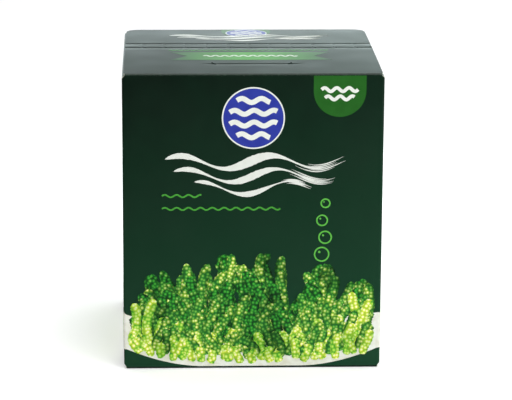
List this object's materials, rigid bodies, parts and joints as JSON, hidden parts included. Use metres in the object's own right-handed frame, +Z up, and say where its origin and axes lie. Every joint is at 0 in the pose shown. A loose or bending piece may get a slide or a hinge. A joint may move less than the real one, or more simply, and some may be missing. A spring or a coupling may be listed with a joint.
{
  "type": "folding carton",
  "caption": "Sealed paperboard carton with a zip tear strip, a re-closing tongue and film sachets of sea grapes inside; its top flaps fold open.",
  "frame": {"origin": "middle of the footprint, on the surface that the carton stands on", "axes": "+Z up, +X to the right seen from the front, -Y out of the front wall"},
  "size_m": [0.112, 0.102, 0.1315],
  "materials": {
    "printed_board": "satin",
    "top_board": "satin",
    "plain_board": "matte",
    "clear_film": "gloss"
  },
  "bodies": {
    "root": {"sleeve": "printed_board", "bottom_outer_flap": "printed_board", "bottom_inner_flap": "plain_board", "bottom_dust_flap_left": "plain_board", "bottom_dust_flap_right": "plain_board", "sachet_1": "clear_film", "sachet_2": "clear_film", "sachet_3": "clear_film", "sachet_4": "clear_film", "sachet_5": "clear_film"},
    "lid": {"rear_panel": "top_board", "tear_strip": "top_board", "inner_flap": "plain_board", "closing_tongue": "plain_board"},
    "front_flap": {"front_flap": "top_board"},
    "dust_left": {"dust_flap_left": "plain_board"},
    "dust_right": {"dust_flap_right": "plain_board"}
  },
  "joints": [
    {"name": "lid_fold", "type": "hinge", "parent": "root", "child": "lid", "pos_m": [0, 0.051, 0.1309], "axis": [-1, 0, 0], "range_deg": [0, 180], "deforming": ["closing_tongue"]},
    {"name": "front_flap_fold", "type": "hinge", "parent": "root", "child": "front_flap", "pos_m": [0, -0.051, 0.1315], "axis": [1, 0, 0], "range_deg": [0, 180]},
    {"name": "dust_left_fold", "type": "hinge", "parent": "root", "child": "dust_left", "pos_m": [-0.056, 0, 0.1302], "axis": [0, -1, 0], "range_deg": [0, 90]},
    {"name": "dust_right_fold", "type": "hinge", "parent": "root", "child": "dust_right", "pos_m": [0.056, 0, 0.1302], "axis": [0, 1, 0], "range_deg": [0, 90]}
  ],
  "couplings": [
    {"joint": "front_flap_fold", "follows": "lid_fold", "ratio": 1},
    {"joint": "dust_left_fold", "follows": "lid_fold", "ratio": 0.5},
    {"joint": "dust_right_fold", "follows": "lid_fold", "ratio": 0.5}
  ]
}
